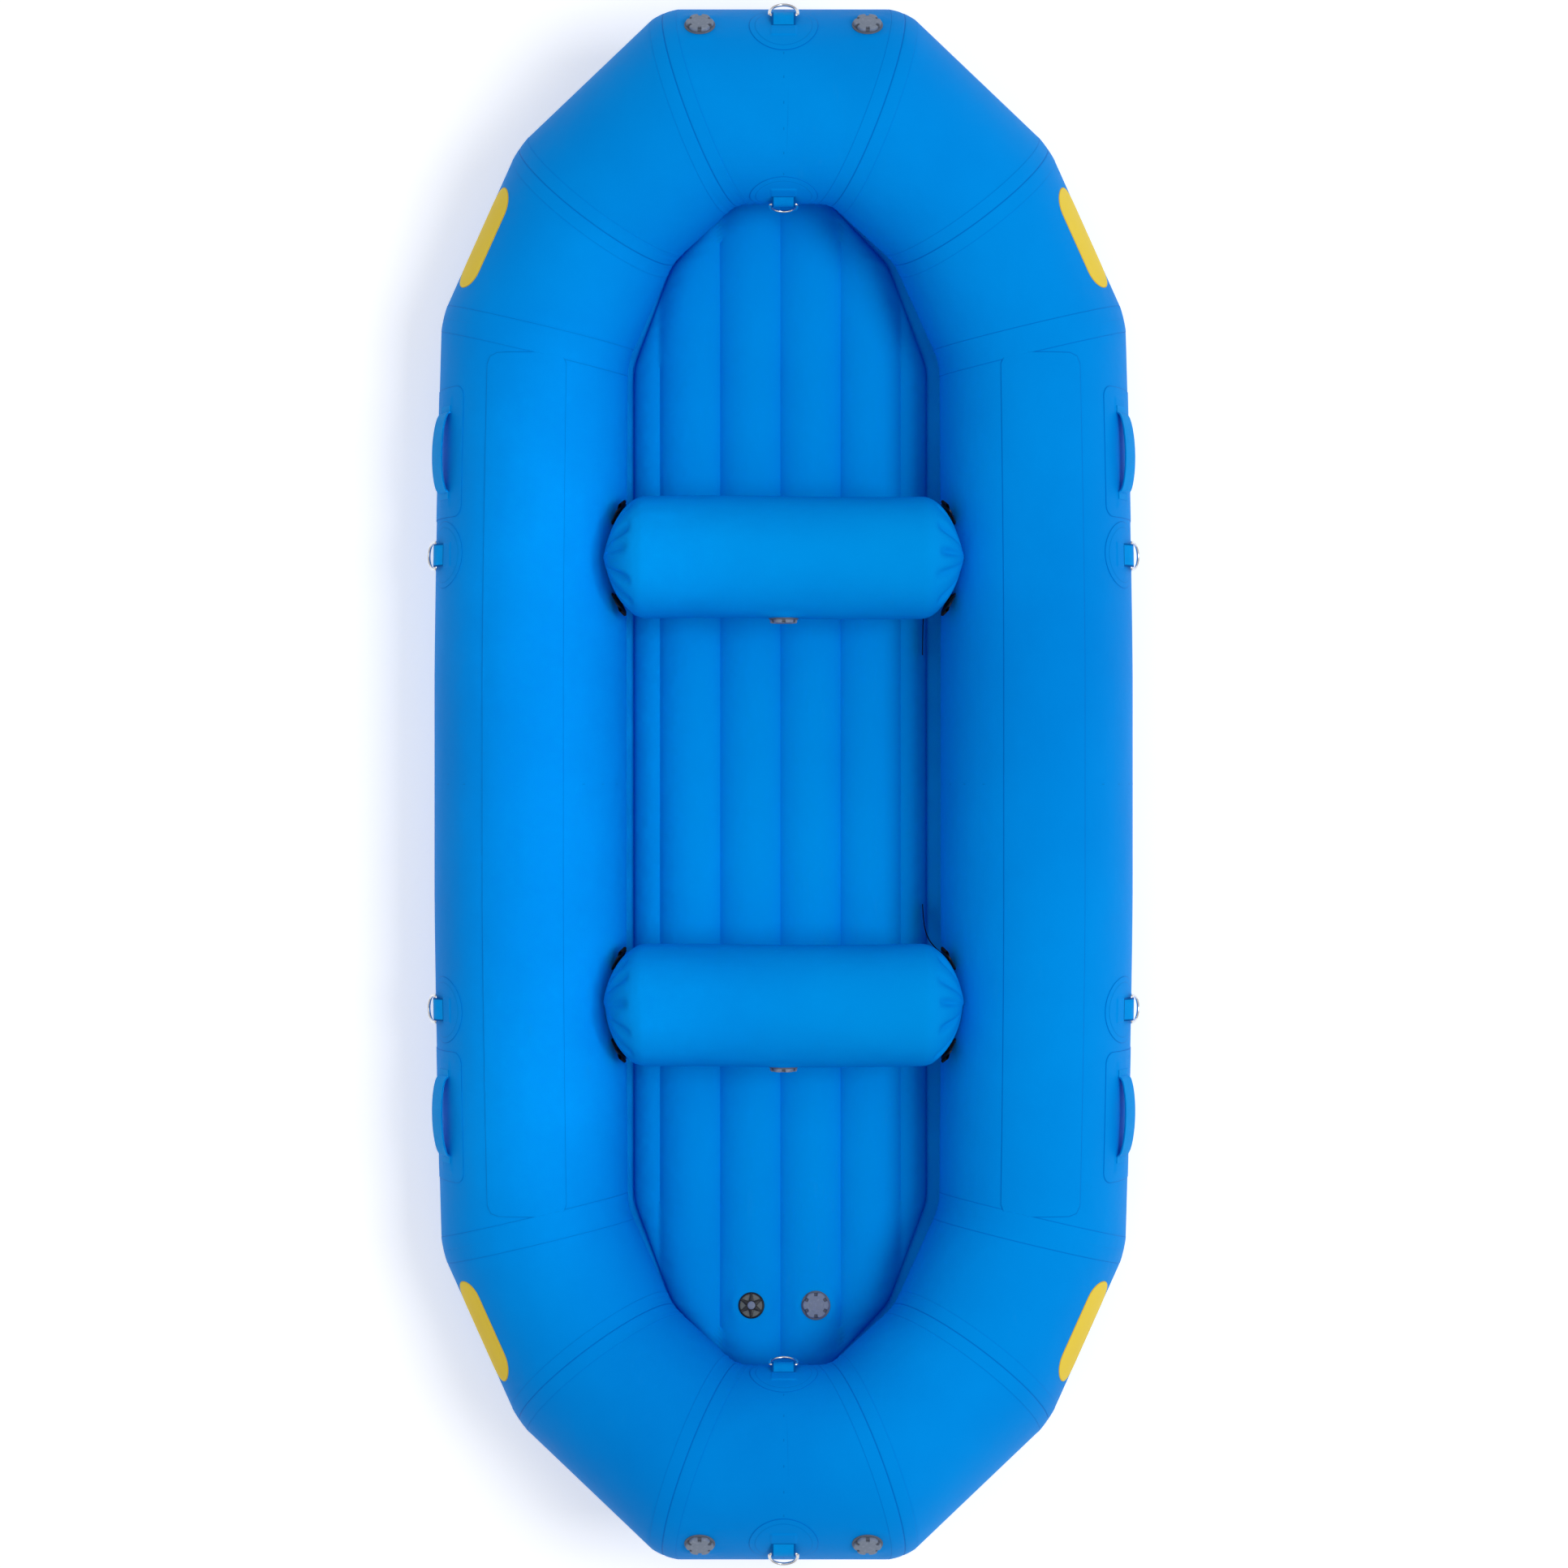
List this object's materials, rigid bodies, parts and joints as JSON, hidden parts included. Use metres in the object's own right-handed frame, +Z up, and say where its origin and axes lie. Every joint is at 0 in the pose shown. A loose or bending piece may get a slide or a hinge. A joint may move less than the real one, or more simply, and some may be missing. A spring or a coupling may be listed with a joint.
{
  "type": "inflatable raft",
  "caption": "Oval self-bailing river raft: rising ring of mitred air tubes, ribbed air floor, crosswise thwarts, D-rings on round patches, webbing handles and capped valves.",
  "frame": {"origin": "on the ground under the middle of the raft, at the centre of the bounding box's base", "axes": "+X to starboard, +Y to the bow, +Z up"},
  "size_m": [1.6904, 3.59, 0.6469],
  "materials": {
    "tube_fabric": "coated fabric, semi-matt",
    "baffle_fabric": "coated fabric, matt",
    "floor_fabric": "coated fabric, semi-matt",
    "skirt_fabric": "coated fabric, matt",
    "thwart_fabric": "coated fabric, semi-matt",
    "patch_and_webbing": "coated webbing, matt",
    "strap_webbing": "woven, matt",
    "stainless_steel": "polished",
    "valve_plastic": "moulded, satin",
    "cap_plastic": "moulded, satin",
    "relief_plastic": "moulded, satin"
  },
  "bodies": {
    "raft": {"side_tube_port": "tube_fabric", "side_tube_starboard": "tube_fabric", "shoulder_tube_bow_port": "tube_fabric", "shoulder_tube_bow_starboard": "tube_fabric", "shoulder_tube_stern_port": "tube_fabric", "shoulder_tube_stern_starboard": "tube_fabric", "quarter_tube_bow_port": "tube_fabric", "quarter_tube_bow_starboard": "tube_fabric", "quarter_tube_stern_port": "tube_fabric", "quarter_tube_stern_starboard": "tube_fabric", "end_tube_bow": "tube_fabric", "end_tube_stern": "tube_fabric", "baffle_bow": "baffle_fabric", "baffle_stern": "baffle_fabric", "baffle_port": "baffle_fabric", "baffle_starboard": "baffle_fabric", "floor": "floor_fabric", "floor_skirt": "skirt_fabric", "thwart_fore": "thwart_fabric", "thwart_aft": "thwart_fabric", "thwart_fore_strap_port": "strap_webbing", "thwart_fore_strap_starboard": "strap_webbing", "thwart_aft_strap_port": "strap_webbing", "thwart_aft_strap_starboard": "strap_webbing", "ring_anchor_fore_port": "patch_and_webbing", "ring_anchor_fore_starboard": "patch_and_webbing", "ring_anchor_aft_port": "patch_and_webbing", "ring_anchor_aft_starboard": "patch_and_webbing", "ring_anchor_bow_outer": "patch_and_webbing", "ring_anchor_bow_inner": "patch_and_webbing", "ring_anchor_stern_outer": "patch_and_webbing", "ring_anchor_stern_inner": "patch_and_webbing", "handle_bow_port": "patch_and_webbing", "handle_bow_starboard": "patch_and_webbing", "handle_stern_port": "patch_and_webbing", "handle_stern_starboard": "patch_and_webbing", "bow_port_valve_body": "valve_plastic", "bow_starboard_valve_body": "valve_plastic", "stern_port_valve_body": "valve_plastic", "stern_starboard_valve_body": "valve_plastic", "thwart_fore_valve_body": "valve_plastic", "thwart_aft_valve_body": "valve_plastic", "floor_valve_body": "valve_plastic", "relief_valve_body": "relief_plastic"},
    "ring_fore_port": {"d_ring_fore_port": "stainless_steel"},
    "ring_fore_starboard": {"d_ring_fore_starboard": "stainless_steel"},
    "ring_aft_port": {"d_ring_aft_port": "stainless_steel"},
    "ring_aft_starboard": {"d_ring_aft_starboard": "stainless_steel"},
    "ring_bow_outer": {"d_ring_bow_outer": "stainless_steel"},
    "ring_bow_inner": {"d_ring_bow_inner": "stainless_steel"},
    "ring_stern_outer": {"d_ring_stern_outer": "stainless_steel"},
    "ring_stern_inner": {"d_ring_stern_inner": "stainless_steel"},
    "cap_bow_port": {"bow_port_valve_cap": "cap_plastic"},
    "cap_bow_starboard": {"bow_starboard_valve_cap": "cap_plastic"},
    "cap_stern_port": {"stern_port_valve_cap": "cap_plastic"},
    "cap_stern_starboard": {"stern_starboard_valve_cap": "cap_plastic"},
    "cap_thwart_fore": {"thwart_fore_valve_cap": "cap_plastic"},
    "cap_thwart_aft": {"thwart_aft_valve_cap": "cap_plastic"},
    "cap_floor": {"floor_valve_cap": "cap_plastic"},
    "relief_plunger": {"relief_valve_plunger": "cap_plastic"}
  },
  "joints": [
    {"name": "ring_swing_fore_port", "type": "hinge", "parent": "raft", "child": "ring_fore_port", "pos_m": [-0.82068, 0.5401, 0.31803], "axis": [0.0181, 0.9998, -0.0129], "range_deg": [-5, 150]},
    {"name": "ring_swing_fore_starboard", "type": "hinge", "parent": "raft", "child": "ring_fore_starboard", "pos_m": [0.82068, 0.5401, 0.31803], "axis": [0.0181, -0.9998, 0.0129], "range_deg": [-5, 150]},
    {"name": "ring_swing_aft_port", "type": "hinge", "parent": "raft", "child": "ring_aft_port", "pos_m": [-0.82086, -0.5301, 0.31815], "axis": [-0.0181, 0.9998, 0.0129], "range_deg": [-5, 150]},
    {"name": "ring_swing_aft_starboard", "type": "hinge", "parent": "raft", "child": "ring_aft_starboard", "pos_m": [0.82086, -0.5301, 0.31815], "axis": [-0.0181, -0.9998, -0.0129], "range_deg": [-5, 150]},
    {"name": "ring_swing_bow_outer", "type": "hinge", "parent": "raft", "child": "ring_bow_outer", "pos_m": [0, 1.74725, 0.5736], "axis": [1, 0, 0], "range_deg": [-5, 150]},
    {"name": "ring_swing_bow_inner", "type": "hinge", "parent": "raft", "child": "ring_bow_inner", "pos_m": [0, 1.34462, 0.44276], "axis": [-1, 0, 0], "range_deg": [-5, 150]},
    {"name": "ring_swing_stern_outer", "type": "hinge", "parent": "raft", "child": "ring_stern_outer", "pos_m": [0, -1.74725, 0.5736], "axis": [-1, 0, 0], "range_deg": [-5, 150]},
    {"name": "ring_swing_stern_inner", "type": "hinge", "parent": "raft", "child": "ring_stern_inner", "pos_m": [0, -1.34462, 0.44276], "axis": [1, 0, 0], "range_deg": [-5, 150]},
    {"name": "cap_turn_bow_port", "type": "hinge", "parent": "raft", "child": "cap_bow_port", "pos_m": [-0.19, 1.7204, 0.58862], "axis": [0, 0.6691, 0.7432], "range_deg": [0, 90]},
    {"name": "cap_turn_bow_starboard", "type": "hinge", "parent": "raft", "child": "cap_bow_starboard", "pos_m": [0.19, 1.7204, 0.58862], "axis": [0, 0.6691, 0.7432], "range_deg": [0, 90]},
    {"name": "cap_turn_stern_port", "type": "hinge", "parent": "raft", "child": "cap_stern_port", "pos_m": [-0.19, -1.7204, 0.58862], "axis": [0, -0.6691, 0.7432], "range_deg": [0, 90]},
    {"name": "cap_turn_stern_starboard", "type": "hinge", "parent": "raft", "child": "cap_stern_starboard", "pos_m": [0.19, -1.7204, 0.58862], "axis": [0, -0.6691, 0.7432], "range_deg": [0, 90]},
    {"name": "cap_turn_thwart_fore", "type": "hinge", "parent": "raft", "child": "cap_thwart_fore", "pos_m": [0, 0.3887, 0.365], "axis": [0, -1, 0], "range_deg": [0, 90]},
    {"name": "cap_turn_thwart_aft", "type": "hinge", "parent": "raft", "child": "cap_thwart_aft", "pos_m": [0, -0.6613, 0.365], "axis": [0, -1, 0], "range_deg": [0, 90]},
    {"name": "cap_turn_floor", "type": "hinge", "parent": "raft", "child": "cap_floor", "pos_m": [0.078, -1.26094, 0.15001], "axis": [0, 0.2079, 0.9782], "range_deg": [0, 90]},
    {"name": "relief_press", "type": "slide", "parent": "raft", "child": "relief_plunger", "axis": [0, -0.2079, -0.9782], "range_m": [0, 0.004], "stiffness_N_per_m": 300, "springref_m": -0.004}
  ]
}
